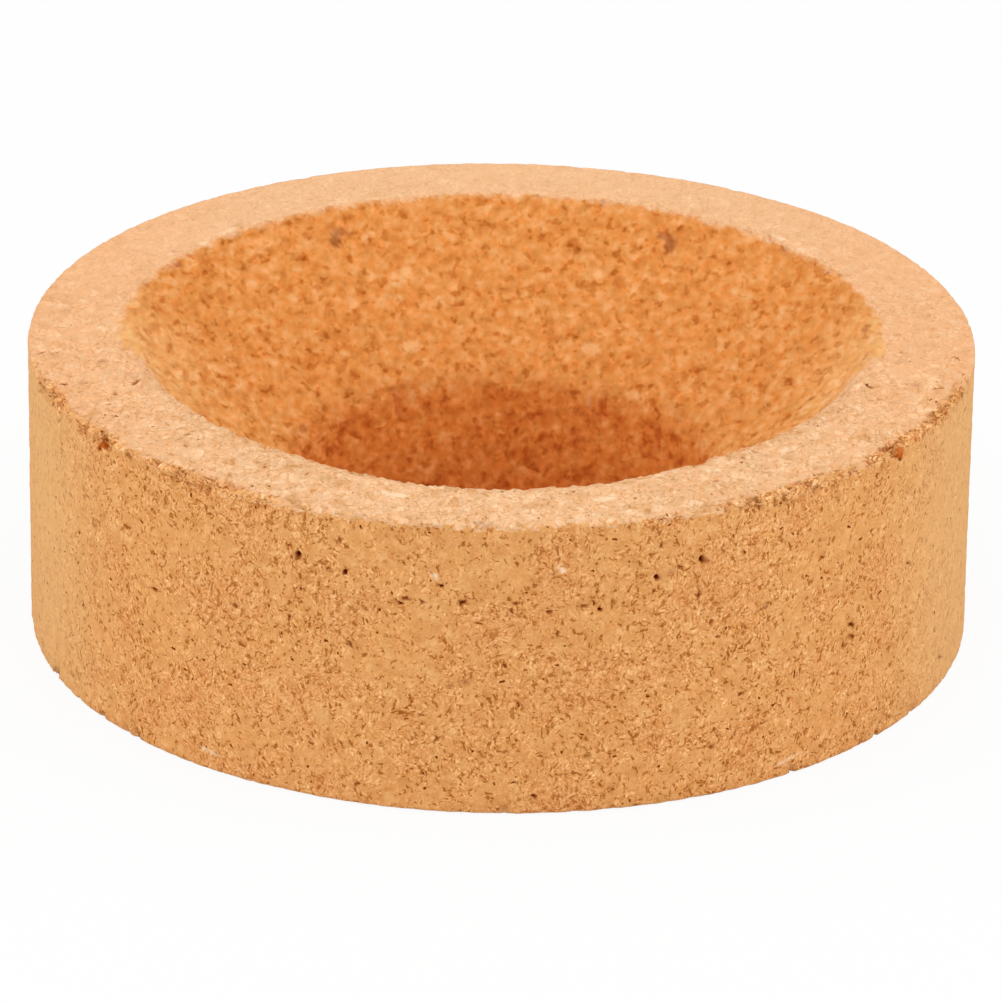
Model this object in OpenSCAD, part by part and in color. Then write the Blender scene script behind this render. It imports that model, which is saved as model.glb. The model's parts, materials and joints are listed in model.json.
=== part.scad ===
// Cork ring that holds a round-bottomed flask upright on a bench.
// One block of agglomerated cork: a plain cylinder with a conical seat cut
// into its top, and a straight bore through the middle below the seat.
// Millimetres. The origin is the centre of the base, and +Z is up.

/* [Ring] */
// Outside diameter of the ring
outer_d = 90; // [80:1:160]
// Height from the base to the flat rim
height = 29; // [24:0.5:60]
// Width of the flat rim around the seat
rim_w = 8.75; // [4:0.25:12]

/* [Seat and bore] */
// Depth of the conical seat below the flat rim
seat_depth = 13.5; // [5:0.5:20]
// Diameter of the bore, where the seat ends
bore_d = 40; // [16:1:50]

/* [Edges] */
// Small flat that breaks the sharp edges of the rim, the base and the bore's foot
edge_break = 0.5; // [0.1:0.1:1]

/* [Hidden] */
// Facets of a full turn
turn_facets = 180;
outer_r = outer_d / 2;
mouth_r = outer_r - rim_w;
bore_r = bore_d / 2;
bore_top = height - seat_depth;

// Half of the ring's section, with the axis on the left
module ring_section() {
    base_outline = [
        [bore_r + edge_break, 0],
        [outer_r - edge_break, 0],
        [outer_r, edge_break],
    ];
    rim_outline = [
        [outer_r, height - edge_break],
        [outer_r - edge_break, height],
        [mouth_r, height],
    ];
    bore_outline = [
        [bore_r, bore_top],
        [bore_r, edge_break],
    ];
    polygon(concat(base_outline, rim_outline, bore_outline));
}

// The whole ring, which is one solid piece of cork
module cork_ring() {
    color("#dd9f60")
        rotate_extrude($fn = turn_facets)
            ring_section();
}

cork_ring();
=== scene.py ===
"""Looks of a cork ring that holds a round-bottomed flask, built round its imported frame.

The ring is turned from one block of agglomerated cork. Its outside is cut, its rim and its base are
sanded, and its seat and bore are routed, and each of those cuts shows the granules in its own way.
"""

import json
import logging
import math
import random
from dataclasses import dataclass, field, replace
from enum import Enum
from typing import Any, Iterable, Sequence

import bmesh
import bpy
from mathutils import Matrix, Vector, noise
from mathutils.kdtree import KDTree


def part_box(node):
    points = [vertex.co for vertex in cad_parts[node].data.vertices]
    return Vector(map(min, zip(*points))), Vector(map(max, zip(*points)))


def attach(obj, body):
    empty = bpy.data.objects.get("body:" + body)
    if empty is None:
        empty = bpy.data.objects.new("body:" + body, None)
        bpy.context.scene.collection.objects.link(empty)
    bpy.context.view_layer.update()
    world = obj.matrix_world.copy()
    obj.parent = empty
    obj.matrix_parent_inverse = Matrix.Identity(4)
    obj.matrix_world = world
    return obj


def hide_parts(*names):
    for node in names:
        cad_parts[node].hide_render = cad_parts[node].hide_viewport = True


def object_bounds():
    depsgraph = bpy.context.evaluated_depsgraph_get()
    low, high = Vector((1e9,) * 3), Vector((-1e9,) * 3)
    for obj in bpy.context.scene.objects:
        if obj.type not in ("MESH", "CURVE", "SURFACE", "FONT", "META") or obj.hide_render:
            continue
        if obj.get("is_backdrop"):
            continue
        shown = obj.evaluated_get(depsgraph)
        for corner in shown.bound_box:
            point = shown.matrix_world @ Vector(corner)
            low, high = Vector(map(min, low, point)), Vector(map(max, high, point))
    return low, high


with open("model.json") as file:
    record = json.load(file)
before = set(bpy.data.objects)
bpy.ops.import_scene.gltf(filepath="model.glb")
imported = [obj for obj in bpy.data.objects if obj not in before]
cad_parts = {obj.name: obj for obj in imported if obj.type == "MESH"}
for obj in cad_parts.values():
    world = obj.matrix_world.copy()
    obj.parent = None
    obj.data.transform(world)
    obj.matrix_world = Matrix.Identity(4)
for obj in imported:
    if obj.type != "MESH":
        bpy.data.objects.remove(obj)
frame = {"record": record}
CAD_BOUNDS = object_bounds()

LOG = logging.getLogger("cork_ring")
MM = 0.001
NODE = "cork_ring"
BODY = "root"

# The Mix node's sockets go by number, because their names repeat: first input, second input, output
COLOUR_SOCKETS = (6, 7, 2)
NUMBER_SOCKETS = (2, 3, 0)

Colour = tuple[float, float, float, float]
Band = tuple[float, float]


def colour(code: str) -> Colour:
    """Turn a hex colour into the linear values that a shader takes.

    Args:
        code: The colour as six hex digits.

    Returns:
        Its red, green, blue and alpha.
    """
    parts = [int(code[i : i + 2], 16) / 255 for i in (0, 2, 4)]
    linear = [c / 12.92 if c <= 0.04045 else ((c + 0.055) / 1.055) ** 2.4 for c in parts]
    return (linear[0], linear[1], linear[2], 1.0)


def fade(low: float, high: float, value: float) -> float:
    """Ease from 0 at one value to 1 at another.

    Args:
        low: The value that gives 0.
        high: The value that gives 1, which may be the lower one.
        value: The value to ease.

    Returns:
        A number from 0 to 1.
    """
    t = min(max((value - low) / (high - low), 0.0), 1.0)
    return t * t * (3 - 2 * t)


def front_angle(place: Vector) -> float:
    """Measure how many degrees a place lies round the ring from its front, on either side."""
    return abs(math.degrees(math.atan2(place.x, -place.y)))


def toss(place: Vector) -> float:
    """Draw a number from 0 to 1 that belongs to a granule's middle."""
    return 0.5 + 0.5 * noise.cell(place * 53.0)


class Zone(Enum):
    """The faces of the ring, by how each was cut."""

    WALL = "wall"
    RIM = "rim"
    SEAT = "seat"
    BORE = "bore"
    BASE = "base"


class Blemish(Enum):
    """What a local mark in the cork is, which is also the name of its point attribute."""

    HOLLOW = "hollow"
    FLECK = "fleck"
    STAIN = "stain"
    PALE = "pale"
    PLAIN = "plain"
    TORN = "torn"


# --------------------------------------------------------------------------- shader sums


class Signal:
    """A shader socket that takes part in sums as a number, a vector or a colour."""

    def __init__(self, graph: "Graph", socket: bpy.types.NodeSocket) -> None:
        """Keep the socket and the graph it belongs to."""
        self.graph = graph
        self.socket = socket

    @property
    def is_vector(self) -> bool:
        """Tell whether the socket carries more than one number."""
        return self.socket.type in ("VECTOR", "RGBA")

    def __add__(self, other: Any) -> "Signal":
        """Add."""
        return self.graph.sum("ADD", self, other)

    def __radd__(self, other: Any) -> "Signal":
        """Add, from the right."""
        return self.graph.sum("ADD", other, self)

    def __sub__(self, other: Any) -> "Signal":
        """Subtract."""
        return self.graph.sum("SUBTRACT", self, other)

    def __rsub__(self, other: Any) -> "Signal":
        """Subtract, from the right."""
        return self.graph.sum("SUBTRACT", other, self)

    def __mul__(self, other: Any) -> "Signal":
        """Multiply."""
        return self.graph.sum("MULTIPLY", self, other)

    def __rmul__(self, other: Any) -> "Signal":
        """Multiply, from the right."""
        return self.graph.sum("MULTIPLY", other, self)


class Graph:
    """The node tree of one material or world, filled in by expressions."""

    def __init__(self, tree: bpy.types.NodeTree) -> None:
        """Empty the tree."""
        self.tree = tree
        tree.nodes.clear()

    def node(self, kind: str, settings: dict[str, Any], inputs: dict[Any, Any]) -> bpy.types.Node:
        """Add a node.

        Args:
            kind: The node's type.
            settings: Its properties, which are set first. "stops" holds a ramp's stops.
            inputs: Values or signals for its sockets, by name or by number.

        Returns:
            The node.
        """
        made = self.tree.nodes.new(kind)
        for name, value in settings.items():
            if name == "stops":
                self._set_stops(made.color_ramp, value)
            else:
                setattr(made, name, value)
        for name, value in inputs.items():
            if isinstance(value, Signal):
                self.tree.links.new(value.socket, made.inputs[name])
            else:
                made.inputs[name].default_value = value
        return made

    @staticmethod
    def _set_stops(ramp: bpy.types.ColorRamp, stops: Sequence[tuple[float, Colour]]) -> None:
        """Give a ramp its stops."""
        while len(ramp.elements) < len(stops):
            ramp.elements.new(1.0)
        for element, (place, tone) in zip(ramp.elements, stops):
            element.position = place
            element.color = tone

    def out(self, made: bpy.types.Node, name: Any = 0) -> Signal:
        """Take one of a node's outputs as a signal."""
        return Signal(self, made.outputs[name])

    def sum(self, operation: str, a: Any, b: Any) -> Signal:
        """Work out a sum of two operands, as numbers or as vectors.

        Args:
            operation: ADD, SUBTRACT or MULTIPLY.
            a: The first signal, number or vector.
            b: The second one.

        Returns:
            The result.
        """
        a_wide = a.is_vector if isinstance(a, Signal) else isinstance(a, tuple)
        b_wide = b.is_vector if isinstance(b, Signal) else isinstance(b, tuple)
        if not a_wide and not b_wide:
            return self.out(self.node("ShaderNodeMath", {"operation": operation}, {0: a, 1: b}))
        if operation == "MULTIPLY" and a_wide != b_wide:
            vector, number = (a, b) if a_wide else (b, a)
            made = self.node("ShaderNodeVectorMath", {"operation": "SCALE"}, {0: vector, "Scale": number})
            return self.out(made)
        a, b = (self._widened(v) for v in (a, b))
        return self.out(self.node("ShaderNodeVectorMath", {"operation": operation}, {0: a, 1: b}))

    @staticmethod
    def _widened(value: Any) -> Any:
        """Repeat a plain number as a vector, and leave the rest."""
        return (value, value, value) if isinstance(value, (int, float)) else value

    def math(self, operation: str, a: Any, b: Any = 0.0) -> Signal:
        """Work out a Math node's operation on one or two numbers."""
        return self.out(self.node("ShaderNodeMath", {"operation": operation}, {0: a, 1: b}))

    def larger(self, a: Any, b: Any) -> Signal:
        """Take the larger of two numbers."""
        return self.math("MAXIMUM", a, b)

    def fade(self, value: Signal, low: float, high: float) -> Signal:
        """Ease from 0 at one value to 1 at another.

        Args:
            value: The number that drives the easing.
            low: The value that gives 0.
            high: The value that gives 1, which may be the lower one.

        Returns:
            A number from 0 to 1.
        """
        falls = low > high
        made = self.node(
            "ShaderNodeMapRange",
            {"interpolation_type": "SMOOTHSTEP"},
            {
                "Value": value,
                "From Min": min(low, high),
                "From Max": max(low, high),
                "To Min": float(falls),
                "To Max": float(not falls),
            },
        )
        return self.out(made)

    def band(self, value: Signal, corner: float, span: Band) -> Signal:
        """Ease from 0 to 1 over a band that is measured from a corner."""
        return self.fade(value, corner + span[0], corner + span[1])

    def mix(self, share: Any, a: Any, b: Any) -> Signal:
        """Mix two colours.

        Args:
            share: How much of the second colour shows.
            a: The first colour.
            b: The second colour.

        Returns:
            The mixed colour.
        """
        first, second, mixed = COLOUR_SOCKETS
        made = self.node("ShaderNodeMix", {"data_type": "RGBA"}, {0: share, first: a, second: b})
        return self.out(made, mixed)

    def blend(self, share: Any, a: Any, b: Any) -> Signal:
        """Mix two numbers."""
        first, second, mixed = NUMBER_SOCKETS
        made = self.node("ShaderNodeMix", {"data_type": "FLOAT"}, {0: share, first: a, second: b})
        return self.out(made, mixed)

    def ramp(self, value: Signal, stops: Sequence[tuple[float, Colour]]) -> Signal:
        """Look a number up in a row of colours."""
        return self.out(self.node("ShaderNodeValToRGB", {"stops": stops}, {0: value}))

    def noise(self, place: Signal, size: float, detail: float, rough: float = 0.5) -> bpy.types.Node:
        """Add a cloudy pattern.

        Args:
            place: Where to read it, in millimetres.
            size: The size of its largest clouds, in millimetres.
            detail: How many finer layers it has.
            rough: How strong the finer layers are.

        Returns:
            The node.
        """
        inputs = {"Vector": place, "Scale": 1 / size, "Detail": detail, "Roughness": rough}
        return self.node("ShaderNodeTexNoise", {"noise_dimensions": "3D"}, inputs)

    def cells(self, place: Signal, size: float, feature: str = "F1") -> bpy.types.Node:
        """Add a pattern of packed cells.

        Args:
            place: Where to read it, in millimetres.
            size: How far apart the cells lie, in millimetres.
            feature: The Voronoi node's feature.

        Returns:
            The node.
        """
        return self.node("ShaderNodeTexVoronoi", {"feature": feature}, {"Vector": place, "Scale": 1 / size})

    def parts(self, value: Signal) -> tuple[Signal, Signal, Signal]:
        """Split a vector or a colour into its three numbers."""
        made = self.node("ShaderNodeSeparateXYZ", {}, {0: value})
        return self.out(made, 0), self.out(made, 1), self.out(made, 2)

    def vector(self, operation: str, a: Any, b: Any = (0.0, 0.0, 0.0)) -> bpy.types.Node:
        """Add a Vector Math node on one or two vectors."""
        return self.node("ShaderNodeVectorMath", {"operation": operation}, {0: a, 1: b})

    def length(self, value: Signal) -> Signal:
        """Measure a vector."""
        return self.out(self.vector("LENGTH", value), "Value")

    def dot(self, a: Signal, b: Any) -> Signal:
        """Measure how far one vector reaches along another of length 1."""
        return self.out(self.vector("DOT_PRODUCT", a, b), "Value")

    def attribute(self, name: str) -> Signal:
        """Read a point attribute of the piece."""
        made = self.node("ShaderNodeAttribute", {"attribute_name": name, "attribute_type": "GEOMETRY"}, {})
        return self.out(made, "Fac")


# --------------------------------------------------------------------------- the ring's shape


@dataclass(frozen=True)
class RingSection:
    """The ring's section, in millimetres, with the axis on the left."""

    outer_radius: float
    height: float
    bore_radius: float
    bore_top: float
    rim_width: float = 8.75

    @classmethod
    def from_frame(cls) -> "RingSection":
        """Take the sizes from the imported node's box and the record's mounts.

        Returns:
            The section.
        """
        low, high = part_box(NODE)
        mounts = {m["name"]: m for m in frame["record"]["mounts"]}
        return cls(
            outer_radius=(high[0] - low[0]) / 2 / MM,
            height=(high[2] - low[2]) / MM,
            bore_radius=mounts["bore"]["dims"]["r_mm"],
            bore_top=mounts["seat"]["pos_m"][2] / MM,
        )

    @property
    def mouth_radius(self) -> float:
        """Give the radius at which the rim turns into the seat."""
        return self.outer_radius - self.rim_width

    @property
    def corners(self) -> dict[str, tuple[float, float]]:
        """Name the section's corners, in order round it, by radius and height."""
        return {
            "foot": (self.outer_radius, 0.0),
            "shoulder": (self.outer_radius, self.height),
            "mouth": (self.mouth_radius, self.height),
            "throat": (self.bore_radius, self.bore_top),
            "bore_foot": (self.bore_radius, 0.0),
        }

    def span(self, zone: Zone) -> Band:
        """Give the lowest and highest place along the wall, the rim or the base.

        Args:
            zone: The face.

        Returns:
            Two heights on the wall, or two radii on the rim or the base.
        """
        if zone is Zone.WALL:
            return (0.0, self.height)
        return (self.mouth_radius if zone is Zone.RIM else self.bore_radius, self.outer_radius)

    def from_corner(self, name: str, radius: float, level: float) -> float:
        """Measure how far a place lies from one of the section's corners."""
        corner_radius, corner_level = self.corners[name]
        return math.hypot(radius - corner_radius, level - corner_level)

    def depth(self, zone: Zone, radius: float, level: float) -> float:
        """Measure how deep a place lies under the plane or cone of a face.

        Args:
            zone: The face.
            radius: The place's distance from the axis.
            level: The place's height.

        Returns:
            The depth, which is below zero outside the cork.
        """
        if zone is Zone.WALL:
            return self.outer_radius - radius
        if zone is Zone.RIM:
            return self.height - level
        if zone is Zone.BASE:
            return level
        if zone is Zone.BORE:
            return radius - self.bore_radius
        run = self.mouth_radius - self.bore_radius
        rise = self.height - self.bore_top
        return ((radius - self.bore_radius) * rise - (level - self.bore_top) * run) / math.hypot(run, rise)

    def zone_at(self, radius: float, level: float) -> Zone:
        """Find the face that a place on the surface belongs to.

        Args:
            radius: The place's distance from the axis.
            level: The place's height.

        Returns:
            The nearest face.
        """
        inner = Zone.SEAT if level > self.bore_top else Zone.BORE
        near = (Zone.WALL, Zone.RIM, Zone.BASE, inner)
        return min(near, key=lambda zone: abs(self.depth(zone, radius, level)))

    def place(self, zone: Zone, angle: float, along: float) -> Vector:
        """Find the point of a face at an angle.

        Args:
            zone: The face.
            angle: Degrees from the front, towards +X.
            along: The height on the wall or the bore, or the radius on the other faces.

        Returns:
            The point.
        """
        if zone in (Zone.WALL, Zone.BORE):
            radius = self.outer_radius if zone is Zone.WALL else self.bore_radius
            level = along
        elif zone is Zone.SEAT:
            radius = along
            share = (along - self.bore_radius) / (self.mouth_radius - self.bore_radius)
            level = self.bore_top + share * (self.height - self.bore_top)
        else:
            radius = along
            level = self.height if zone is Zone.RIM else 0.0
        turn = math.radians(angle)
        return Vector((radius * math.sin(turn), -radius * math.cos(turn), level))


@dataclass(frozen=True)
class Mark:
    """A local mark in the cork, such as a hole, a dark fleck, a stain, a pale granule or a torn edge.

    Its angle is in degrees from the front, and its place along the face is a height on the wall and in the
    bore, and a radius elsewhere. Its length, width and sink are in millimetres, and its lean in degrees.
    """

    kind: Blemish
    zone: Zone
    angle: float
    along: float
    length: float
    width: float
    lean: float = 0.0
    sink: float = 0.0
    strength: float = 1.0

    def paired(self, angle: float | None = None, along: float | None = None) -> tuple["Mark", "Mark"]:
        """Pair the mark with its twin on the ring's other side.

        Args:
            angle: The twin's angle, where it isn't as far round as the mark is.
            along: The twin's place along the face, where it isn't the mark's own.

        Returns:
            The mark and its twin, which leans the other way.
        """
        twin_angle = -self.angle if angle is None else angle
        twin_along = self.along if along is None else along
        return self, replace(self, angle=twin_angle, along=twin_along, lean=180.0 - self.lean)


@dataclass(frozen=True)
class Scatter:
    """How many small holes lie on one face, how far in from its edges, and how dark they show."""

    zone: Zone
    count: int
    margin: float
    strength: float


@dataclass(frozen=True)
class EdgeWear:
    """How one edge of the ring crumbles: how easily, and which way it is worn back, outwards and upwards."""

    ease: float
    outward: float
    upward: float


@dataclass(frozen=True)
class Grain:
    """How the granules stand out of one face, in millimetres."""

    level: float
    dome: float
    fuzz: float


@dataclass
class CorkRing:
    """The ring, turned from one block of agglomerated cork."""

    section: RingSection
    seed: int = 11
    steps: int = 272
    refinings: int = 4
    slack: float = 1.5
    finest: float = 0.13
    granule: float = 1.25
    granule_reach: float = 0.65
    seam: float = 0.25
    fuzz_rate: float = 2.1
    sway: float = 0.05
    sway_size: float = 13.0
    crumble: float = 0.75
    crumble_size: float = 1.15
    crumble_reach: float = 1.9
    calm: float = 0.85
    far_side: Band = (80.0, 110.0)
    rub: float = 0.25
    rub_reach: float = 2.2
    rub_arc: Band = (45.0, 15.0)
    crumbs: float = 0.22
    crumb_band: Band = (0.9, 0.4)
    crumb_rates: Band = (1.9, 4.3)
    lip_stand: float = 1.35
    stand_band: Band = (6.0, 0.5)
    stand_start: Band = (5.0, 36.0)
    stand_end: Band = (130.0, 62.0)
    ragged: float = 0.35
    ragged_rate: float = 3.3
    mark_edge: Band = (1.0, 0.55)
    hole_length: Band = (0.35, 0.8)
    hole_slimness: Band = (0.35, 0.7)
    hole_sink: Band = (0.12, 0.32)
    smooth_arc: Band = (70.0, 110.0)
    base_sink: float = 0.02
    base_gap: float = 0.004
    frail_arcs: tuple[Band, ...] = ((37.0, 16.0), (55.0, 12.0), (68.0, 14.0))
    scatters: tuple[Scatter, ...] = (
        Scatter(Zone.WALL, 90, 1.5, 0.7),
        Scatter(Zone.RIM, 24, 0.8, 0.45),
        Scatter(Zone.BASE, 40, 1.5, 0.8),
    )
    roundings: dict[str, float] = field(
        default_factory=lambda: {"foot": 0.5, "shoulder": 0.5, "mouth": 0.7, "throat": 1.6, "bore_foot": 0.5}
    )
    spacings: dict[Zone, float] = field(
        default_factory=lambda: {
            Zone.WALL: 0.5, Zone.RIM: 0.5, Zone.SEAT: 0.42, Zone.BORE: 0.6, Zone.BASE: 1.2
        }
    )
    corner_spacings: dict[str, Band] = field(
        default_factory=lambda: {
            "shoulder": (1.6, 0.28), "mouth": (1.0, 0.3), "throat": (1.2, 0.4), "foot": (0.6, 0.3)
        }
    )
    wears: dict[str, EdgeWear] = field(
        default_factory=lambda: {
            "shoulder": EdgeWear(1.0, -1.0, -1.0),
            "mouth": EdgeWear(0.35, 1.0, -1.0),
            "foot": EdgeWear(0.25, -1.0, 1.0),
            "throat": EdgeWear(0.5, 1.0, -0.3),
        }
    )
    grains: dict[Zone, Grain] = field(
        default_factory=lambda: {
            Zone.WALL: Grain(0.02, 0.05, 0.02),
            Zone.RIM: Grain(0.02, 0.04, 0.015),
            Zone.SEAT: Grain(0.05, 0.09, 0.04),
            Zone.BORE: Grain(0.05, 0.09, 0.04),
            Zone.BASE: Grain(0.02, 0.04, 0.015),
        }
    )
    marks: list[Mark] = field(init=False)
    mark_tree: KDTree = field(init=False)
    mark_reach: float = field(init=False)

    def build(self) -> bpy.types.Object:
        """Build the ring's mesh and put it in the scene.

        Returns:
            The ring's object, at the origin, without its finish.
        """
        self.marks = self.known_marks() + self.scattered_marks()
        self._plant_marks()
        bm = bmesh.new()
        self._turn(bm)
        self._refine(bm)
        self._roughen(bm)
        bmesh.ops.scale(bm, vec=(MM, MM, MM), verts=bm.verts)
        bmesh.ops.recalc_face_normals(bm, faces=bm.faces)
        triangles = sum(len(face.verts) - 2 for face in bm.faces)
        for face in bm.faces:
            face.smooth = True
        mesh = bpy.data.meshes.new("cork_ring_turned")
        LOG.info("ring: %d triangles, volume %.1f cm3", triangles, bm.calc_volume() / MM**3 / 1000)
        bm.to_mesh(mesh)
        bm.free()
        ring = bpy.data.objects.new("cork_ring_turned", mesh)
        bpy.context.scene.collection.objects.link(ring)
        return ring

    def known_marks(self) -> list[Mark]:
        """List the marks that this ring is known by.

        Returns:
            The marks, face by face.
        """
        hollow, fleck, stain, pale, plain, torn = list(Blemish)
        wall, rim, seat, bore = Zone.WALL, Zone.RIM, Zone.SEAT, Zone.BORE
        return [
            # The two pairs of deep pits high on the wall, and the small holes round them
            *Mark(hollow, wall, -23.7, 24.0, 0.95, 0.7, 70, 0.5).paired(24.1),
            *Mark(hollow, wall, -17.9, 23.1, 0.75, 0.6, 60, 0.4).paired(18.5, 22.9),
            Mark(hollow, wall, -10.5, 21.3, 0.45, 0.3, 70, 0.2),
            Mark(hollow, wall, -11.2, 20.7, 0.5, 0.35, 20, 0.25),
            Mark(hollow, wall, -8.7, 21.0, 0.5, 0.25, 90, 0.2, 0.8),
            Mark(hollow, wall, -6.5, 22.7, 0.5, 0.4, 10, 0.25),
            Mark(hollow, wall, -4.0, 21.2, 1.0, 0.3, 40, 0.25),
            Mark(hollow, wall, 1.6, 20.4, 0.6, 0.3, 130, 0.2, 0.8),
            Mark(hollow, wall, 11.1, 20.9, 0.6, 0.3, 80, 0.25),
            Mark(hollow, wall, 11.8, 20.3, 0.6, 0.45, 140, 0.3),
            Mark(hollow, wall, 10.0, 20.7, 0.4, 0.25, 90, 0.2, 0.8),
            Mark(hollow, wall, 13.1, 21.0, 0.35, 0.3, 0, 0.2, 0.8),
            *Mark(hollow, wall, -23.3, 20.7, 0.4, 0.3, 90, 0.2, 0.8).paired(23.9, 20.6),
            *Mark(hollow, wall, -18.5, 26.1, 0.9, 0.35, 100, 0.15, 0.6).paired(19.0),
            *Mark(hollow, wall, -24.8, 17.6, 0.9, 0.35, 95, 0.15, 0.6).paired(25.5),
            # Flecks, lines and pale or plain granules on the wall
            *Mark(fleck, wall, -20.0, 23.3, 1.7, 0.8, 140, 0.0, 0.45).paired(20.5, 23.4),
            Mark(fleck, wall, -3.7, 13.3, 1.6, 0.7, 20, 0.0, 0.7),
            Mark(fleck, wall, -5.5, 12.8, 1.0, 0.6, 20, 0.0, 0.7),
            *Mark(fleck, wall, -32.0, 17.6, 0.9, 0.45, 10).paired(32.7, 17.9),
            Mark(pale, wall, -7.1, 23.7, 0.6, 0.45, 90, 0.0, 0.8),
            Mark(pale, wall, 7.3, 24.4, 0.95, 0.75, 120),
            *Mark(plain, wall, -20.7, 8.5, 2.5, 2.2, 80).paired(21.6, 8.2),
            *Mark(pale, wall, -35.8, 2.0, 3.2, 0.5, 170, 0.0, 0.55).paired(36.4, 1.7),
            # Chips and torn places along the shoulder
            *Mark(hollow, wall, -53.9, 28.9, 0.7, 0.35, 100, 0.15).paired(),
            *Mark(hollow, wall, -55.0, 27.5, 0.7, 0.35, 20, 0.15).paired(),
            *Mark(stain, wall, -54.8, 28.2, 2.1, 1.5, 75, 0.05).paired(),
            *Mark(stain, wall, -58.5, 28.6, 1.0, 0.8, 80, 0.05, 0.8).paired(),
            *Mark(torn, wall, -41.0, 28.4, 2.0, 0.9, 0, 0.15).paired(),
            *Mark(torn, wall, -35.0, 28.5, 2.4, 0.8, 0, 0.15).paired(),
            *Mark(torn, wall, -65.0, 28.4, 1.6, 0.8, 0, 0.15).paired(),
            # Creases and pale granules in the bore
            *Mark(stain, bore, -150.5, 13.5, 4.6, 1.3, 77, 0.35, 0.62).paired(),
            *Mark(stain, bore, -130.0, 12.6, 3.6, 1.5, 82, 0.35, 0.52).paired(),
            *Mark(pale, bore, -154.5, 14.4, 2.2, 0.9, 100, 0.0, 0.5).paired(),
            # Flecks, stains and pale granules in the seat
            *Mark(fleck, seat, -150.3, 33.4, 2.2, 1.3, 119).paired(),
            *Mark(fleck, seat, -151.9, 34.0, 2.2, 1.1, 10, 0.0, 0.8).paired(),
            *Mark(pale, seat, -158.0, 23.5, 2.6, 1.2, 0, 0.0, 0.7).paired(),
            *Mark(stain, seat, -145.7, 34.2, 1.0, 1.6, 119, 0.0, 0.52).paired(),
            *Mark(stain, seat, -142.5, 29.9, 0.9, 1.4, 0, 0.0, 0.44).paired(),
            *Mark(pale, seat, -155.7, 33.2, 0.9, 0.9, 0, 0.0, 0.7).paired(),
            *Mark(pale, seat, -161.5, 29.8, 1.2, 1.2, 0, 0.0, 0.8).paired(),
            *Mark(fleck, seat, -118.2, 35.9, 1.0, 0.7, 20, 0.0, 0.8).paired(),
            *Mark(stain, seat, -122.2, 35.9, 1.2, 0.7, 60, 0.0, 0.6).paired(),
            # Flecks, slits and pale granules on the rim
            *Mark(pale, rim, -13.4, 39.9, 2.6, 1.2, 0, 0.0, 0.65).paired(along=40.2),
            *Mark(pale, rim, -127.1, 36.6, 2.0, 1.4, 0, 0.0, 0.6).paired(),
            *Mark(pale, rim, -132.9, 37.0, 2.6, 1.0, 0, 0.0, 0.5).paired(),
            *Mark(fleck, rim, -121.3, 37.6, 1.0, 0.6, 90, 0.0, 0.55).paired(),
            *Mark(fleck, rim, -77.5, 39.0, 1.2, 0.9, 20, 0.0, 0.5).paired(80.4, 38.7),
            *Mark(fleck, rim, -70.5, 41.4, 1.0, 1.0, 0, 0.0, 0.5).paired(73.3, 40.8),
            *Mark(hollow, rim, -68.4, 37.8, 1.6, 0.35, 40, 0.1, 0.7).paired(70.8, 37.6),
            *Mark(hollow, rim, -71.0, 43.2, 1.3, 0.35, 120, 0.1, 0.8).paired(73.2, 42.8),
            *Mark(hollow, rim, -81.5, 43.8, 1.2, 0.35, 60, 0.1, 0.6).paired(83.5, 43.4),
        ]

    def scattered_marks(self) -> list[Mark]:
        """Draw the small marks that lie all over the ring.

        Returns:
            The marks, the same ones on every run.
        """
        draw = random.Random(self.seed)
        marks = []
        for scatter in self.scatters:
            low, high = self.section.span(scatter.zone)
            for _ in range(scatter.count):
                angle = draw.uniform(-180, 180)
                along = draw.uniform(low + scatter.margin, high - scatter.margin)
                length = draw.uniform(*self.hole_length)
                width = length * draw.uniform(*self.hole_slimness)
                lean = draw.uniform(0, 180)
                sink = draw.uniform(*self.hole_sink)
                kept = 1.0
                if scatter.zone is Zone.RIM:
                    kept -= 0.7 * fade(*self.smooth_arc, abs(angle))
                shape = (angle, along, length, width, lean, sink * kept, scatter.strength * kept)
                marks.append(Mark(Blemish.HOLLOW, scatter.zone, *shape))
        return marks

    def _plant_marks(self) -> None:
        """Sort the marks by place, so that the ones near a point are found fast."""
        self.mark_tree = KDTree(len(self.marks))
        for i, mark in enumerate(self.marks):
            self.mark_tree.insert(self.section.place(mark.zone, mark.angle, mark.along), i)
        self.mark_tree.balance()
        self.mark_reach = max(mark.length for mark in self.marks)

    def _marks_near(self, place: Vector) -> Iterable[tuple[Mark, float]]:
        """Find the marks round a point.

        Args:
            place: The point.

        Yields:
            Each mark, and how far out the point lies in it: 0 at its middle and 1 at its outline.
        """
        for centre, i, _ in self.mark_tree.find_range(place, self.mark_reach):
            mark = self.marks[i]
            turn = math.radians(mark.angle)
            across = Vector((math.cos(turn), math.sin(turn), 0.0))
            if mark.zone in (Zone.WALL, Zone.BORE):
                up = Vector((0.0, 0.0, 1.0))
            else:
                up = Vector((math.sin(turn), -math.cos(turn), 0.0))
            offset = place - centre
            lean = math.radians(mark.lean)
            x = offset.dot(across)
            y = offset.dot(up)
            long_way = x * math.cos(lean) + y * math.sin(lean)
            short_way = y * math.cos(lean) - x * math.sin(lean)
            through = offset.dot(across.cross(up)) / (mark.length / 2 + 0.4)
            yield mark, math.hypot(long_way / (mark.length / 2), short_way / (mark.width / 2), through)

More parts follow.
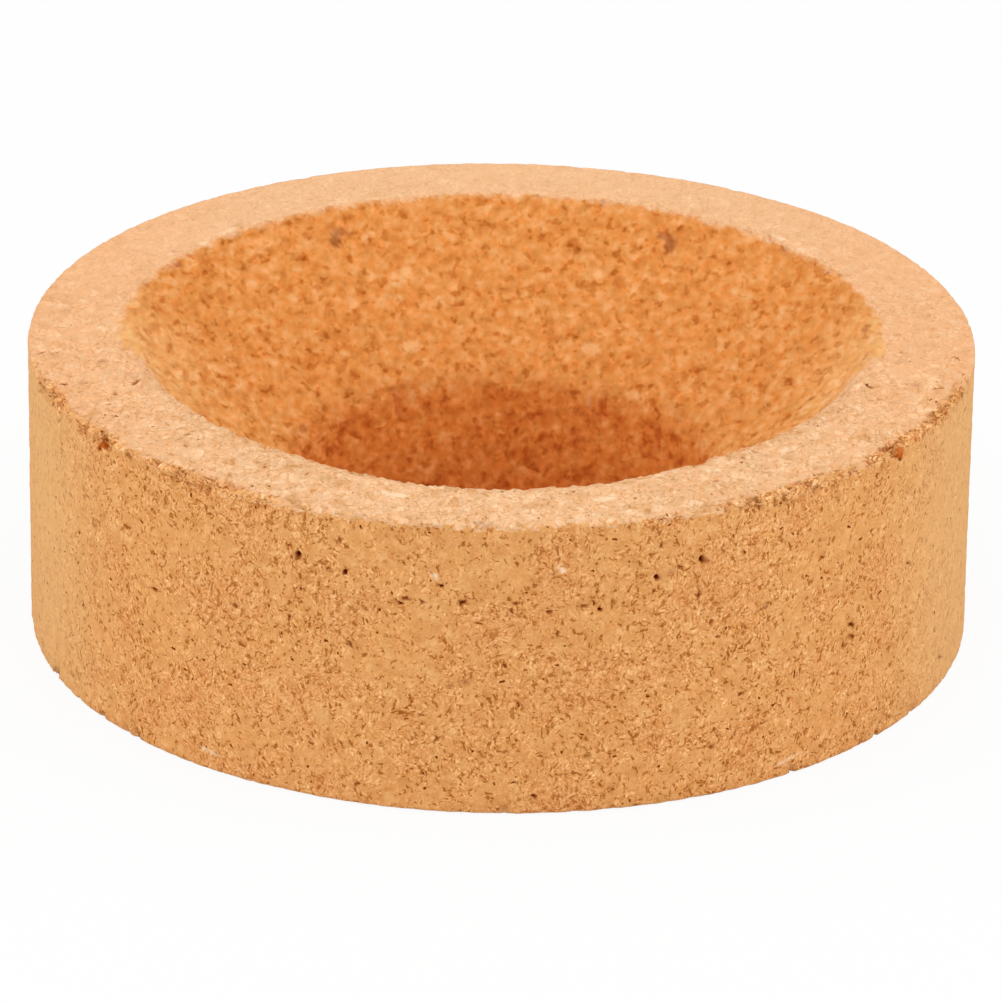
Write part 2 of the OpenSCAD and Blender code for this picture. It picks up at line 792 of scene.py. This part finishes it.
    def _turn(self, bm: bmesh.types.BMesh) -> None:
        """Spin the ring's section round its axis.

        Args:
            bm: The empty mesh to build in.
        """
        verts = [bm.verts.new((radius, 0.0, level)) for radius, level in self.section.corners.values()]
        edges = [bm.edges.new((a, b)) for a, b in zip(verts, verts[1:] + verts[:1])]
        bmesh.ops.contextual_create(bm, geom=edges)
        for corner, name in zip(verts, self.section.corners):
            bmesh.ops.bevel(
                bm,
                geom=[corner],
                affect="VERTICES",
                offset=self.roundings[name],
                offset_type="OFFSET",
                segments=3,
                profile=0.5,
                material=-1,
            )
        bmesh.ops.delete(bm, geom=bm.faces[:], context="FACES_ONLY")
        for edge in bm.edges[:]:
            middle = (edge.verts[0].co + edge.verts[1].co) / 2
            spacing = 2 * self.spacings[self.section.zone_at(middle.x, middle.z)]
            cuts = math.ceil(edge.calc_length() / spacing) - 1
            if cuts > 0:
                bmesh.ops.subdivide_edges(bm, edges=[edge], cuts=cuts)
        bmesh.ops.spin(
            bm,
            geom=bm.verts[:] + bm.edges[:],
            cent=(0.0, 0.0, 0.0),
            axis=(0.0, 0.0, 1.0),
            angle=math.tau,
            steps=self.steps,
            use_merge=True,
        )
        bmesh.ops.remove_doubles(bm, verts=bm.verts, dist=0.001)
        bmesh.ops.recalc_face_normals(bm, faces=bm.faces)

    def _spacing_at(self, place: Vector) -> float:
        """Say how close the mesh's points should lie at a place.

        Args:
            place: The place on the surface.

        Returns:
            The longest that an edge may be there.
        """
        radius = math.hypot(place.x, place.y)
        spacing = self.spacings[self.section.zone_at(radius, place.z)]
        for name, (reach, fine) in self.corner_spacings.items():
            if self.section.from_corner(name, radius, place.z) < reach:
                spacing = min(spacing, fine)
        for mark, out in self._marks_near(place):
            if out < 1.5:
                spacing = min(spacing, max(self.finest, mark.width / 4))
        return spacing

    def _refine(self, bm: bmesh.types.BMesh) -> None:
        """Halve the edges that are too long for their place, round by round, and drop the spare points.

        Args:
            bm: The turned mesh.
        """
        for _ in range(self.refinings):
            long_edges = []
            for edge in bm.edges:
                middle = (edge.verts[0].co + edge.verts[1].co) / 2
                if edge.calc_length() > self.slack * self._spacing_at(middle):
                    long_edges.append(edge)
            if not long_edges:
                break
            bmesh.ops.subdivide_edges(bm, edges=long_edges, cuts=1, use_grid_fill=True)
            uneven = [face for face in bm.faces if len(face.verts) > 4]
            bmesh.ops.triangulate(bm, faces=uneven)
            LOG.info("refined to %d faces", len(bm.faces))
        spare = [vert for vert in bm.verts if len(vert.link_edges) == 2]
        bmesh.ops.dissolve_verts(bm, verts=spare)

    def _roughen(self, bm: bmesh.types.BMesh) -> None:
        """Raise the granules, sink the holes and wear the edges.

        Args:
            bm: The refined mesh.
        """
        layers = {kind: bm.verts.layers.float.new(kind.value) for kind in Blemish}
        bm.normal_update()
        moves = []
        for vert in bm.verts:
            place = vert.co.copy()
            radius = math.hypot(place.x, place.y)
            zone = self.section.zone_at(radius, place.z)
            rise = self._granule_rise(place, self.grains[zone]) - self._rubbed(place, radius)
            wear_and_painted_sheen, torn = self._wear(place, radius)
            wear_and_painted_sheen -= self._lip_stand(place, radius)
            vert[layers[Blemish.TORN]] = torn
            ragged = self.ragged * noise.noise(place * self.ragged_rate)
            for mark, out in self._marks_near(place):
                share = fade(*self.mark_edge, out + ragged * min(out, 1.0))
                if share > 0:
                    vert[layers[mark.kind]] = max(vert[layers[mark.kind]], share * mark.strength)
                    rise -= mark.sink * share
            if zone is Zone.BASE:
                rise = min(rise - self.base_sink, -self.base_gap)
            moves.append((vert, vert.normal * rise + wear_and_painted_sheen))
        for vert, move in moves:
            vert.co += move

    def _granule_rise(self, place: Vector, grain: Grain) -> float:
        """Say how far the granules stand out at a place, on a face that sways a little.

        Args:
            place: The place on the surface.
            grain: How the granules stand out of its face.

        Returns:
            The rise, which is below zero where the cork lies back.
        """
        spots, points = noise.voronoi(place / self.granule)
        rise = grain.level * (2 * toss(points[0]) - 1) * fade(0.0, self.seam, spots[1] - spots[0])
        rise -= grain.dome * (spots[0] / self.granule_reach) ** 2
        rise += grain.fuzz * noise.noise(place * self.fuzz_rate)
        return rise + self.sway * noise.noise(place / self.sway_size)

    def _rubbed(self, place: Vector, radius: float) -> float:
        """Say how far the seat's lip is rubbed down, which is most at the front.

        Args:
            place: The place on the surface.
            radius: Its distance from the axis.

        Returns:
            The depth, with the crumbs that stand out of the lip counted as less.
        """
        away = self.section.from_corner("mouth", radius, place.z)
        coarse, fine = self.crumb_rates
        crumbs = noise.noise(place * coarse) + noise.noise(place * fine)
        rubbed = self.rub * fade(self.rub_reach, 0.0, away) * fade(*self.rub_arc, front_angle(place))
        return rubbed + self.crumbs * crumbs * fade(*self.crumb_band, away)

    def _lip_stand(self, place: Vector, radius: float) -> Vector:
        """Say how far the seat's lip stands in at the front quarters.

        Args:
            place: The place on the surface.
            radius: Its distance from the axis.

        Returns:
            The same distance as a move away from the axis, for the caller to take off.
        """
        angle = front_angle(place)
        near = fade(*self.stand_band, self.section.from_corner("mouth", radius, place.z))
        stand = self.lip_stand * near * fade(*self.stand_start, angle) * fade(*self.stand_end, angle)
        return Vector((place.x, place.y, 0.0)) * (stand / radius)

    def _wear(self, place: Vector, radius: float) -> tuple[Vector, float]:
        """Work out how the ring's edges have crumbled at a place.

        Args:
            place: The place on the surface.
            radius: Its distance from the axis.

        Returns:
            How far the place moves, and how much of it is freshly torn, from 0 to 1.
        """
        wear_and_painted_sheen = Vector((0.0, 0.0, 0.0))
        torn = 0.0
        frail = self._frailty(place)
        outward = Vector((place.x / radius, place.y / radius, 0.0))
        for name, wear in self.wears.items():
            away = self.section.from_corner(name, radius, place.z)
            if away >= self.crumble_reach:
                continue
            calm = 0.0
            if name == "shoulder":
                calm = self.calm * fade(*self.far_side, front_angle(place))
            ease = wear.ease * (1 - calm)
            near = 1 - fade(0.25, self.crumble_reach, away)
            spots, points = noise.voronoi(place / self.crumble_size)
            own = toss(points[0])
            chance = ease * (0.22 + 0.5 * frail)
            torn = max(torn, near * ease * (0.25 + 0.75 * frail))
            if own < chance:
                bite = near * fade(0.0, 0.3, spots[1] - spots[0])
                bite *= self.crumble * (0.4 + 0.6 * own / chance) * (0.6 + 0.6 * frail) * (1 - calm)
                wear_and_painted_sheen += (outward * wear.outward + Vector((0.0, 0.0, wear.upward))) * bite
        return wear_and_painted_sheen, torn

    def _frailty(self, place: Vector) -> float:
        """Say how badly the edge has crumbled round a place.

        Args:
            place: The place on the surface.

        Returns:
            0 where it is whole, up to 1 in the middle of a crumbled stretch.
        """
        angle = front_angle(place)
        worst = max(1 - abs(angle - centre) / width for centre, width in self.frail_arcs)
        last_arc = self.frail_arcs[-1][0]
        if angle > last_arc:
            worst = max(worst, 0.6 * noise.noise(place / 9.0))
        return max(0.0, worst)


# --------------------------------------------------------------------------- finishes


class Spot:
    """Where on the ring a shaded point lies, in millimetres, as signals."""

    def __init__(self, g: Graph) -> None:
        """Read the point's place in the ring's own frame.

        Args:
            g: The graph to work in.
        """
        self.place = g.out(g.node("ShaderNodeTexCoord", {}, {}), "Object") * (1 / MM)
        across, self.back, self.level = g.parts(self.place)
        self.aside = g.math("ABSOLUTE", across)
        self.radius = g.length(self.place * (1.0, 1.0, 0.0))
        self.turn = g.math("DIVIDE", self.back, self.radius)


class CorkPattern:
    """The pressed granules and their grain, as signals over a place in millimetres."""

    # The size of each cloudy pattern's largest clouds, in millimetres
    SWIRL_SIZE = 1.6
    RIPPLE_SIZE = 0.4
    GRAIN_SIZE = 0.21
    CHIP_SIZE = 0.42
    CLOUD_SIZE = 1.2
    PATCH_SIZE = 6.0
    BLOT_SIZE = 0.8
    SOFT_SIZE = 0.9

    # How far the granules' outlines wander and ripple, and how much less they ripple where they are smooth
    SWIRL = 1.3
    RIPPLE = 0.35
    SMOOTHING = 0.27

    # How far the grain and the chips are drawn out along their own granule, from 0 to 1
    GRAIN_DRAW = 0.6
    CHIP_DRAW = 0.72

    def __init__(self, g: Graph, place: Signal, smoothed: Signal, coarse: float, fine: float) -> None:
        """Work out every part of the pattern.

        Args:
            g: The graph to work in.
            place: The place in the cork.
            smoothed: 1 where the granules have smooth outlines, and 0 elsewhere.
            coarse: How far apart the large granules lie.
            fine: How far apart the small granules lie.
        """
        self.swirl = g.out(g.noise(place, self.SWIRL_SIZE, 2.0), "Color") - 0.5
        ripple = g.out(g.noise(place, self.RIPPLE_SIZE, 1.0), "Color") - 0.5
        bent = place + self.swirl * self.SWIRL + ripple * (self.RIPPLE - smoothed * self.SMOOTHING)

        # Large granules, whose tone fades out towards their outlines
        large = g.cells(bent, coarse)
        body = g.fade(g.out(large, "Distance"), 0.72, 0.2)
        self.large = (g.parts(g.out(large, "Color"))[0] - 0.5) * body

        # Small granules, with the seams between them
        packed = g.cells(bent, fine)
        small = g.out(packed, "Color")
        small_tone, self.small_kind, small_rare = g.parts(small)
        self.small_edge = g.out(g.cells(bent, fine, "DISTANCE_TO_EDGE"), "Distance")
        self.small = (small_tone - 0.5) * g.fade(self.small_edge, 0.0, 0.32)

        # Grain and chips, drawn out a different way in each small granule
        way = g.out(g.vector("NORMALIZE", small - (0.5, 0.5, 0.1)))
        along = g.dot(place, way)
        drawn = place - way * (along * self.GRAIN_DRAW)
        self.grain = g.out(g.noise(drawn, self.GRAIN_SIZE, 2.0, 0.58), "Fac") - 0.5
        chipped = place - way * (along * self.CHIP_DRAW) + ripple * 0.3
        chips = g.out(g.noise(chipped, self.CHIP_SIZE, 2.0, 0.55), "Fac")
        self.cloud = g.out(g.noise(place, self.CLOUD_SIZE, 2.0), "Fac") - 0.5

        # Warmer patches, and rougher ones, which are commoner low on the wall and at its quarters
        patch = g.out(g.noise(place, self.PATCH_SIZE, 1.0), "Fac")
        self.blush = g.fade(patch, 0.5, 0.64)
        across, _, level = g.parts(place)
        aside = g.math("ABSOLUTE", across)
        quarters = g.fade(aside, 6.0, 14.0) * g.fade(aside, 38.0, 26.0)
        coarser = g.larger(g.fade(level, 17.0, 5.0), quarters) * 0.06
        rough = patch * 0.6 + self.small_kind * 0.2 + self.cloud * 0.15 + coarser
        self.rough = g.fade(rough, 0.34, 0.5)

        # Dark specks, pits, blots and creases, and pale glints; the pits' darkness is partly their dark
        # lining and partly painted shade, and the glints are painted highlights
        middle = g.out(packed, "Distance")
        dot = g.fade(middle, 0.27, 0.15) * g.fade(small_rare, 0.8, 0.9)
        self.pit = g.fade(middle, 0.19, 0.12) * g.fade(small_rare, 0.9, 0.92)
        self.speck = g.larger(g.fade(chips + self.rough * 0.05, 0.6, 0.67), dot)
        self.glint = g.fade(chips, 0.37, 0.3)
        self.blot = g.fade(g.out(g.noise(bent, self.BLOT_SIZE, 1.0), "Fac"), 0.6, 0.74)
        self.crease = g.fade(self.small_edge, 0.13, 0.02) * g.fade(self.cloud, -0.06, 0.06)

        # Soft clouds of tone and hue, which show where the cork is routed
        soft = g.out(g.noise(place, self.SOFT_SIZE, 1.0), "Color") - 0.5
        self.blob, self.flush, spot = g.parts(soft)
        self.spot = g.fade(spot, 0.06, 0.22)


class CorkAreas:
    """Where each cut, the pale lip painted into the seat's front quarters, the painted sheen and shade and
    the other slow changes of colour lie, as signals from 0 to 1.
    """

    # The bands in which one cut gives way to the next, in millimetres from the corner they belong to
    FOOT: Band = (0.35, 0.1)
    TOP: Band = (-0.57, -0.45)
    INSIDE: Band = (0.9, 0.2)
    MOUTH: Band = (-0.5, 0.45)
    LIP: Band = (-0.65, 0.65)
    THROAT: Band = (0.6, -2.2)

    # The bands in which the cork pales with painted sheen at the wall's ends, warms and darkens a little at
    # the rim's sides, or darkens with painted shade down the bore, in millimetres from the outside or from
    # the bore's top
    ENDS: Band = (-11.0, -1.5)
    SIDES: Band = (-23.0, -5.0)
    BORE_SHADE: Band = (-4.0, -12.0)

    def __init__(self, g: Graph, section: RingSection, spot: Spot, cork: CorkPattern) -> None:
        """Work out every area.

        Args:
            g: The graph to work in.
            section: The ring's section.
            spot: Where the shaded point lies.
            cork: The cork's pattern, which makes the areas' edges ragged.
        """
        mouth = section.mouth_radius
        uneven = g.parts(cork.swirl)[2] * 0.8
        kind = cork.small_kind - 0.5
        crumbled = g.attribute(Blemish.TORN.value)

        self.inside = g.band(spot.radius, mouth, self.INSIDE)
        ragged_level = spot.level + uneven * 0.6 + kind * (crumbled * 1.3 + 0.35)
        outer_rim = g.band(ragged_level, section.height, self.TOP)
        inner_rim = g.band(spot.radius + uneven * 0.9 + kind * 0.6, mouth, self.MOUTH)
        rim = g.larger(g.blend(self.inside, outer_rim, inner_rim), g.fade(spot.level, *self.FOOT))
        # Painted light: the rim's pale colour reaches up to 4 mm into the seat at its front quarters, where
        # light falls on the near slopes
        reach = g.fade(spot.turn, -0.05, -0.35) * 4.0 - g.fade(spot.turn, -0.5, -0.7) * 2.0
        lip = g.band(spot.radius + reach + kind * 3.2 + uneven, mouth, self.LIP)
        self.rim = g.larger(rim, lip * g.fade(spot.turn, 0.1, -0.1) * self.inside)
        self.routed = self.inside * (1 - self.rim)
        self.deep = g.band(spot.level + uneven, section.bore_top, self.THROAT)

        # Painted light: the seat's flanks are lightened, most near the mouth, where light falls on the side
        # slopes
        self.flank = g.fade(spot.turn, 0.4, -0.1) * g.fade(spot.turn, -0.75, -0.5)
        self.upper = g.fade(spot.radius, section.bore_radius + 7.0, mouth - 1.25)
        # Painted shade: the bore darkens from 4 mm to 12 mm below its top, and the darkening fades out at
        # the base
        self.shade = self.inside * g.band(spot.level, section.bore_top, self.BORE_SHADE)
        self.shade = self.shade * g.fade(spot.level, 0.1, 0.4)
        # Painted sheen: the outside pales towards its two ends, where light grazes it
        self.ends = g.band(spot.aside, section.outer_radius, self.ENDS)
        self.sides = g.band(spot.aside, section.outer_radius, self.SIDES)

        stain = g.attribute(Blemish.STAIN.value)
        self.stain = stain * g.fade(stain + cork.cloud, 0.15, 0.45)
        self.torn = g.fade(crumbled + cork.cloud * 1.3, 0.35, 0.75) * 0.8 * (1 - self.stain)


@dataclass(frozen=True)
class Cut:
    """How one kind of cut shows the cork.

    The tints run from dark to light. Each weight says how far one part of the pattern moves along them, and
    the last two how far the granules and the soft clouds differ in hue.
    """

    tints: tuple[str, ...]
    large: float = 0.0
    small: float = 0.0
    cloud: float = 0.0
    blob: float = 0.0
    grain: float = 0.0
    patchy: float = 0.0
    speck: float = 0.0
    blot: float = 0.0
    crease: float = 0.0
    spot: float = 0.0
    glint: float = 0.0
    hue: float = 0.0
    flush: float = 0.0

    def tint(self, g: Graph, cork: CorkPattern) -> Signal:
        """Work out the colour that this cut gives the cork.

        Args:
            g: The graph to work in.
            cork: The cork's pattern.

        Returns:
            The colour.
        """
        tone: Any = 0.5
        for part, weight in (
            (cork.large, self.large),
            (cork.small, self.small),
            (cork.cloud, self.cloud),
            (cork.blob, self.blob),
            (cork.grain * (cork.rough * self.patchy + (1 - self.patchy)), -self.grain),
            (cork.speck, -self.speck),
            (cork.blot, -self.blot),
            (cork.crease, -self.crease),
            (cork.spot, -self.spot),
            (cork.glint, self.glint),
        ):
            if weight:
                tone = tone + part * weight
        stops = [(i / (len(self.tints) - 1), colour(tint)) for i, tint in enumerate(self.tints)]
        warmth = (cork.small_kind - 0.5) * self.hue + cork.flush * self.flush
        return g.ramp(tone, stops) * (1 + warmth * (0.25, -0.35, -1.0))


@dataclass(frozen=True)
class CorkFinish:
    """Agglomerated cork: pressed granules in tans and browns, turned, sanded, routed, bored or torn."""

    turned: Cut = Cut(
        ("9E5A26", "C58244", "DE9F60", "F2BC80", "FFDEB0"),
        large=0.13, small=0.16, cloud=0.43, grain=1.5, patchy=0.75,
        speck=0.39, blot=0.06, crease=0.07, glint=0.06, hue=0.1,
    )
    sanded: Cut = Cut(
        ("A4703C", "CA945E", "E6B487", "F9D4AB", "FFECD2"),
        large=0.26, small=0.14, cloud=0.5, grain=0.32, patchy=0.4,
        speck=0.17, crease=0.14, glint=0.05, hue=0.1, flush=0.3,
    )
    routed: Cut = Cut(
        ("8A3E14", "BA6A2C", "D78C48", "E8AA70", "F0CA98"),
        large=0.24, small=0.16, cloud=0.3, blob=0.45, spot=0.2, blot=0.1, hue=0.12, flush=0.5,
    )
    bored: Cut = Cut(
        ("923C12", "BE6226", "DE883E", "F3AC66", "FDD09A"),
        large=0.34, small=0.24, cloud=0.3, blob=0.5, spot=0.17, blot=0.1, hue=0.15, flush=0.3,
    )
    broken: Cut = Cut(
        ("A05A28", "CA8648", "E4A464", "F6C488", "FFE0B4"),
        large=0.1, small=0.25, cloud=0.5, grain=1.3,
        speck=0.5, blot=0.1, crease=0.35, glint=0.1, hue=0.15,
    )
    blush: str = "DA8E56"
    cream: str = "FCDDBA"
    # A pale colour for pale granules in the seat, also used for the painted light on the seat's flanks
    pith_and_painted_light: str = "EDB67C"
    flake: str = "DEA668"
    smooth: str = "E8B588"
    # The pale colour of the painted sheen on the wall's two ends
    wear_and_painted_sheen: str = "E7B87E"
    # How the holes are reddened and darkened: partly their dark lining, partly painted shade
    hollow_lining_and_shade_loss: tuple[float, float, float] = (0.03, 0.2, 0.42)
    hollow_loss: tuple[float, float, float] = (0.83, 0.99, 1.0)
    fleck_loss: tuple[float, float, float] = (0.42, 0.53, 0.5)
    stain_loss: tuple[float, float, float] = (0.34, 0.72, 0.92)
    pit_loss: tuple[float, float, float] = (0.7, 0.87, 0.98)
    shade_loss: tuple[float, float, float] = (0.09, 0.18, 0.22)
    side_loss: tuple[float, float, float] = (0.0, 0.05, 0.09)
    flank_painted_light: tuple[float, float, float] = (0.14, 0.38, 0.67)
    coarse: float = 1.45
    fine: float = 0.8
    # The line along which the granules are drawn out, and how far, in the seat and bore and on the rim
    lay: tuple[float, float, float] = (0.0, -0.915, 0.403)
    drag: float = 0.55
    rim_drag: float = 0.4

    def material(self, section: RingSection) -> bpy.types.Material:
        """Make the cork's material.

        Args:
            section: The ring's section, which says where each cut lies.

        Returns:
            The material.
        """
        made = bpy.data.materials.new("cork")
        made.use_nodes = True
        g = Graph(made.node_tree)
        spot = Spot(g)
        cork = self._pattern(g, section, spot)
        areas = CorkAreas(g, section, spot, cork)
        tint = self._marked(g, spot, cork, areas, self._cut_tint(g, spot, cork, areas))
        relief = g.fade(cork.small_edge, 0.0, 0.3) * 0.3
        relief = relief - cork.grain * (cork.rough * 0.6 + 0.3) - cork.speck * 0.5
        relief = relief * (1 - areas.routed)
        bump = g.node("ShaderNodeBump", {}, {"Strength": 0.6, "Distance": 0.1 * MM, "Height": relief})
        shader = g.node(
            "ShaderNodeBsdfPrincipled",
            {},
            {
                "Base Color": tint,
                "Roughness": 0.95 + cork.grain * 0.3,
                "Specular IOR Level": 0.04,
                "Normal": g.out(bump, "Normal"),
            },
        )
        g.node("ShaderNodeOutputMaterial", {}, {"Surface": g.out(shader)})
        return made

    def _pattern(self, g: Graph, section: RingSection, spot: Spot) -> CorkPattern:
        """Lay out the granules, which are drawn out in the seat and bore and, less so, on the rim.

        Args:
            g: The graph to work in.
            section: The ring's section.
            spot: Where the shaded point lies.

        Returns:
            The pattern.
        """
        ragged = g.out(g.noise(spot.place, 1.5, 1.0), "Fac") * 8.0
        behind = g.math("GREATER_THAN", spot.back + ragged, -10.0)
        within = g.math("LESS_THAN", spot.radius, section.mouth_radius + 0.3)
        off_base = g.math("GREATER_THAN", spot.level, 0.3)
        on_top = g.math("GREATER_THAN", spot.level, section.height - 0.45)
        routed_out = within * off_base * behind
        drag = routed_out * self.drag + on_top * (1 - within) * self.rim_drag
        drawn = g.dot(spot.place, self.lay) * drag * self.lay
        return CorkPattern(g, spot.place - drawn, routed_out, self.coarse, self.fine)

    def _cut_tint(self, g: Graph, spot: Spot, cork: CorkPattern, areas: CorkAreas) -> Signal:
        """Work out the colour of the cork, cut by cut, with painted sheen on the wall's ends and painted
        light on the seat's flanks and front lip.

        Args:
            g: The graph to work in.
            spot: Where the shaded point lies.
            cork: The cork's pattern.
            areas: Where each cut lies.

        Returns:
            The colour, without the marks.
        """
        turned = g.mix(cork.blush * 0.2, self.turned.tint(g, cork), colour(self.blush))
        # Painted sheen: the outside is mixed towards a pale colour at its two ends
        turned = g.mix(areas.ends * 0.5, turned, colour(self.wear_and_painted_sheen))
        # Painted light: the seat's flanks are lightened and mixed towards a pale colour
        flank_painted_light = areas.flank * (areas.upper * 0.5 + 0.4) * self.flank_painted_light
        routed = self.routed.tint(g, cork) * (1 + flank_painted_light)
        routed = g.mix(areas.flank * areas.upper * 0.3, routed, colour(self.pith_and_painted_light))
        hollowed = g.mix(areas.deep, routed, self.bored.tint(g, cork))
        smoothed = g.fade(spot.back, -30.0, 30.0) * 0.6
        sanded = g.mix(smoothed, self.sanded.tint(g, cork), colour(self.smooth))
        sanded = sanded * (1 - areas.sides * self.side_loss)
        tint = g.mix(areas.rim, g.mix(areas.inside, turned, hollowed), sanded)
        return g.mix(areas.torn, tint, self.broken.tint(g, cork))

    def _marked(self, g: Graph, spot: Spot, cork: CorkPattern, areas: CorkAreas, tint: Signal) -> Signal:
        """Add the granules, pits, flecks, stains and holes that stand out, with painted shade in the pits
        and holes, and the bore's painted shade.

        Args:
            g: The graph to work in.
            spot: Where the shaded point lies.
            cork: The cork's pattern.
            areas: Where each cut lies.
            tint: The cork's colour without them.

        Returns:
            The colour with them.
        """
        tint = g.mix(g.attribute(Blemish.PLAIN.value) * 0.75, tint, colour(self.flake))
        pale = g.mix(areas.routed, colour(self.cream), colour(self.pith_and_painted_light))
        tint = g.mix(g.attribute(Blemish.PALE.value) * 0.8, tint, pale)
        spared = areas.rim * g.fade(spot.back, -20.0, 10.0) * 0.85
        # Pits darkened: partly their dark lining, partly painted shade
        tint = tint * (1 - cork.pit * (1 - areas.routed) * (1 - spared) * self.pit_loss)
        tint = tint * (1 - areas.shade * self.shade_loss)
        tint = tint * (1 - g.attribute(Blemish.FLECK.value) * self.fleck_loss)
        tint = tint * (1 - areas.stain * self.stain_loss)
        # Holes reddened and darkened nearly to black: partly their dark lining, partly painted shade in
        # holes that the mesh sinks only a little
        hollow = g.attribute(Blemish.HOLLOW.value)
        tint = tint * (1 - g.fade(hollow, 0.0, 0.5) * self.hollow_lining_and_shade_loss)
        return tint * (1 - hollow * self.hollow_loss)


@dataclass(frozen=True)
class StudioFinish:
    """The pale floor: it lights the ring as a matt board does, and shows white to the camera."""

    board: str = "E6E6E6"
    shade_kept: float = 0.08

    def material(self) -> bpy.types.Material:
        """Make the floor's material.

        Returns:
            The material.
        """
        made = bpy.data.materials.new("pale_floor")
        made.use_nodes = True
        g = Graph(made.node_tree)
        path = g.node("ShaderNodeLightPath", {}, {})
        seen = g.larger(g.out(path, "Is Camera Ray"), g.out(path, "Is Glossy Ray"))
        matt = g.node("ShaderNodeBsdfDiffuse", {}, {"Color": colour(self.board)})
        white = g.node("ShaderNodeEmission", {}, {"Color": (1.0, 1.0, 1.0, 1.0), "Strength": 1.0})
        share = seen * (1 - self.shade_kept)
        blend = g.node("ShaderNodeMixShader", {}, {0: share, 1: g.out(matt), 2: g.out(white)})
        g.node("ShaderNodeOutputMaterial", {}, {"Surface": g.out(blend)})
        return made


@dataclass(frozen=True)
class Lamp:
    """A soft square lamp that faces the ring: its place and its side in millimetres, and its watts."""

    name: str
    place: tuple[float, float, float]
    side: float
    power: float


@dataclass
class Studio:
    """The floor, the lights and the camera, in millimetres round the ring."""

    section: RingSection
    floor_size: float = 4000.0
    world_level: float = 0.62
    lamps: tuple[Lamp, ...] = (
        Lamp("overhead", (0.0, -150.0, 1100.0), 1100.0, 5.5),
        Lamp("front_fill", (0.0, -1200.0, 500.0), 900.0, 3.0),
        Lamp("left_fill", (-1200.0, -100.0, 500.0), 900.0, 4.4),
        Lamp("right_fill", (1200.0, -100.0, 500.0), 900.0, 4.4),
    )
    aim: tuple[float, float, float] = (0.17, 0.0, 11.43)
    elevation: float = 23.8
    tilt: float = 0.75
    distance: float = 675.0
    lens: float = 252.4
    sensor: float = 36.0
    nearest: float = 50.0
    farthest: float = 20000.0

    def build(self) -> None:
        """Make the floor, the lamps, the world and the camera."""
        self._floor()
        for lamp in self.lamps:
            self._hang(lamp)
        self._world()
        self._camera()

    def _floor(self) -> None:
        """Lay the floor under the ring."""
        bm = bmesh.new()
        bmesh.ops.create_grid(bm, x_segments=1, y_segments=1, size=self.floor_size / 2 * MM)
        mesh = bpy.data.meshes.new("floor")
        bm.to_mesh(mesh)
        bm.free()
        floor = bpy.data.objects.new("floor", mesh)
        floor.data.materials.append(StudioFinish().material())
        bpy.context.scene.collection.objects.link(floor)
        floor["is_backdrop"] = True

    def _hang(self, lamp: Lamp) -> None:
        """Hang a lamp so that it faces the ring.

        Args:
            lamp: The lamp.
        """
        light = bpy.data.lights.new(lamp.name, "AREA")
        light.shape = "SQUARE"
        light.size = lamp.side * MM
        light.energy = lamp.power
        holder = bpy.data.objects.new(lamp.name, light)
        holder.location = Vector(lamp.place) * MM
        aim = Vector((0.0, 0.0, self.section.height / 2)) * MM - holder.location
        holder.rotation_euler = aim.to_track_quat("-Z", "Y").to_euler()
        bpy.context.scene.collection.objects.link(holder)

    def _world(self) -> None:
        """Surround the ring with even light that shows white to the camera."""
        world = bpy.data.worlds.new("studio")
        world.use_nodes = True
        bpy.context.scene.world = world
        g = Graph(world.node_tree)
        path = g.node("ShaderNodeLightPath", {}, {})
        seen = g.larger(g.out(path, "Is Camera Ray"), g.out(path, "Is Transmission Ray"))
        strength = g.blend(seen, self.world_level, 1.0)
        light = g.node("ShaderNodeBackground", {}, {"Color": (1.0, 1.0, 1.0, 1.0), "Strength": strength})
        g.node("ShaderNodeOutputWorld", {}, {"Surface": g.out(light)})

    def _camera(self) -> None:
        """Set up the camera."""
        data = bpy.data.cameras.new("camera")
        data.lens = self.lens
        data.sensor_width = self.sensor
        data.clip_start = self.nearest * MM
        data.clip_end = self.farthest * MM
        camera = bpy.data.objects.new("camera", data)
        rise = math.radians(self.elevation)
        back = Vector((0.0, -math.cos(rise), math.sin(rise)))
        right = Vector((1.0, 0.0, 0.0))
        up = back.cross(right)
        turn = math.radians(self.tilt)
        tilted_right = right * math.cos(turn) + up * math.sin(turn)
        tilted_up = up * math.cos(turn) - right * math.sin(turn)
        axes = Matrix((tilted_right, tilted_up, back)).transposed().to_4x4()
        axes.translation = (Vector(self.aim) + back * self.distance) * MM
        camera.matrix_world = axes
        bpy.context.scene.collection.objects.link(camera)
        bpy.context.scene.camera = camera
        bpy.context.scene.view_settings.view_transform = "Standard"


def main() -> None:
    """Build the studio and the ring, and report them."""
    logging.basicConfig(level=logging.INFO, format="%(message)s")
    section = RingSection.from_frame()
    Studio(section).build()
    ring = CorkRing(section).build()
    ring.data.materials.append(CorkFinish().material(section))
    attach(ring, BODY)
    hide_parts(NODE)
    LOG.info("cork_ring_turned rides on %s", BODY)
    bounds = {"cad": CAD_BOUNDS, "visual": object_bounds()}
    {name: [list(corner) for corner in box] for name, box in bounds.items()}


if __name__ == "__main__":
    main()
